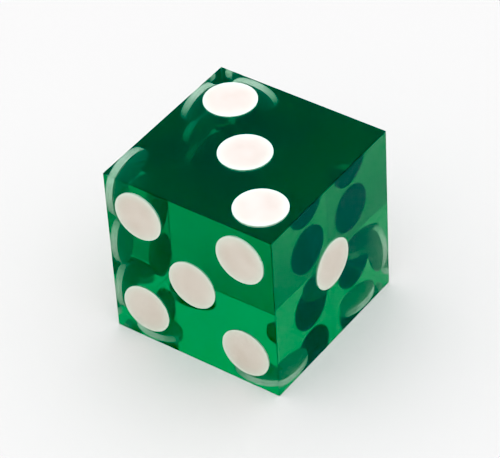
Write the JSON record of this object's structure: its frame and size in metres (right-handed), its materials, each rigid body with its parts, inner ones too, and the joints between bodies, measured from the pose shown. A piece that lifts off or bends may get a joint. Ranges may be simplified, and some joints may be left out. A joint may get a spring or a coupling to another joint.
{
  "type": "casino die",
  "caption": "Transparent sharp-edged cubic die with large flush opaque round pips, opposite faces adding up to seven.",
  "frame": {"origin": "centre of the cube", "axes": "+X out of the face with one pip, +Y out of the face with two, +Z out of the face with three, which is on top at rest"},
  "size_m": [0.019, 0.019, 0.019],
  "materials": {
    "green_acetate": "polished",
    "white_inlay": "polished"
  },
  "bodies": {
    "root": {"die_body": "green_acetate", "pip_one_1": "white_inlay", "pip_two_1": "white_inlay", "pip_two_2": "white_inlay", "pip_three_1": "white_inlay", "pip_three_2": "white_inlay", "pip_three_3": "white_inlay", "pip_four_1": "white_inlay", "pip_four_2": "white_inlay", "pip_four_3": "white_inlay", "pip_four_4": "white_inlay", "pip_five_1": "white_inlay", "pip_five_2": "white_inlay", "pip_five_3": "white_inlay", "pip_five_4": "white_inlay", "pip_five_5": "white_inlay", "pip_six_1": "white_inlay", "pip_six_2": "white_inlay", "pip_six_3": "white_inlay", "pip_six_4": "white_inlay", "pip_six_5": "white_inlay", "pip_six_6": "white_inlay"}
  },
  "joints": []
}
